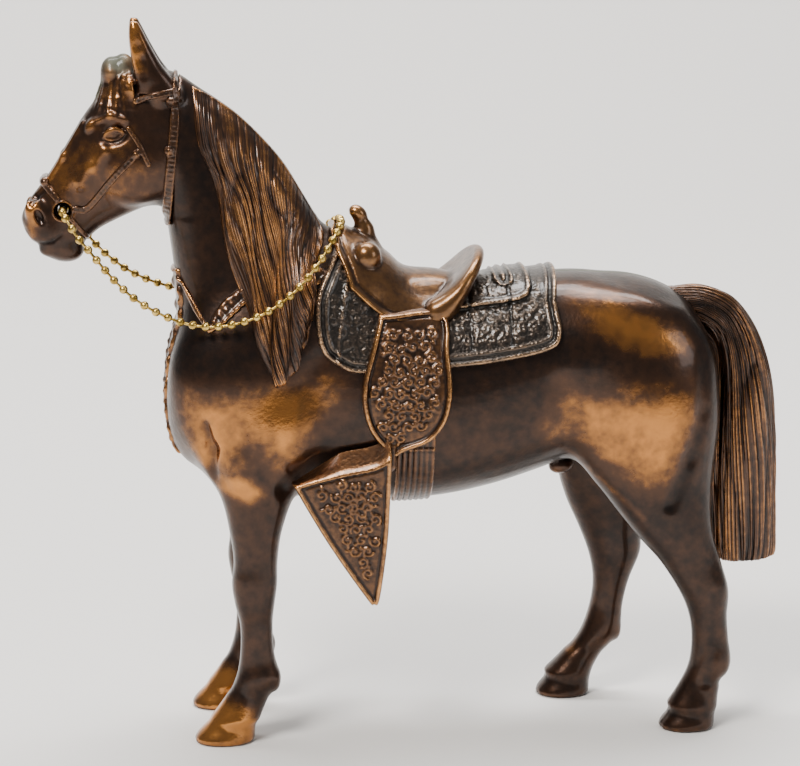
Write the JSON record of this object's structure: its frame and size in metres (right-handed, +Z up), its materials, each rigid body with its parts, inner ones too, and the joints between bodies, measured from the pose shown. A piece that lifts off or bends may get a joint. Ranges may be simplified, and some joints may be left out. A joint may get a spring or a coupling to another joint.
{
  "type": "horse statuette",
  "caption": "Hollow cast-metal standing horse with a Western saddle, pointed stirrup covers, bridle and loose bead-chain reins.",
  "frame": {"origin": "middle of the footprint box, on the surface the hooves stand on", "axes": "+Z up, the horse faces -X, its left side is at -Y"},
  "size_m": [0.2122, 0.0636, 0.2027],
  "materials": {
    "patina_bronze": "cast alloy plated with copper, browned and buffed bright on the high points, clear lacquer",
    "seat_copper": "smooth browned copper plate, semi-gloss",
    "tooled_tack": "finely tooled relief, greyed brown in the hollows",
    "tooled_copper": "finely tooled relief, copper on the high points",
    "chain_brass": "bright stamped brass, slightly dulled"
  },
  "bodies": {
    "horse": {"body_left": "patina_bronze", "body_right": "patina_bronze", "tail": "patina_bronze", "saddle_seat": "seat_copper", "saddle_skirt": "tooled_tack", "fender_left": "tooled_copper", "fender_right": "tooled_copper", "stirrup_left": "tooled_copper", "stirrup_right": "tooled_copper", "cinch": "tooled_tack", "breast_collar": "tooled_tack", "bridle": "tooled_tack"},
    "reins": {"rein_chain": "chain_brass", "rein_clasp": "chain_brass"}
  },
  "joints": [
    {"name": "reins_lift", "type": "hinge", "parent": "horse", "child": "reins", "pos_m": [-0.0946, 0, 0.1489], "axis": [0, -1, 0], "range_deg": [0, 75]}
  ]
}
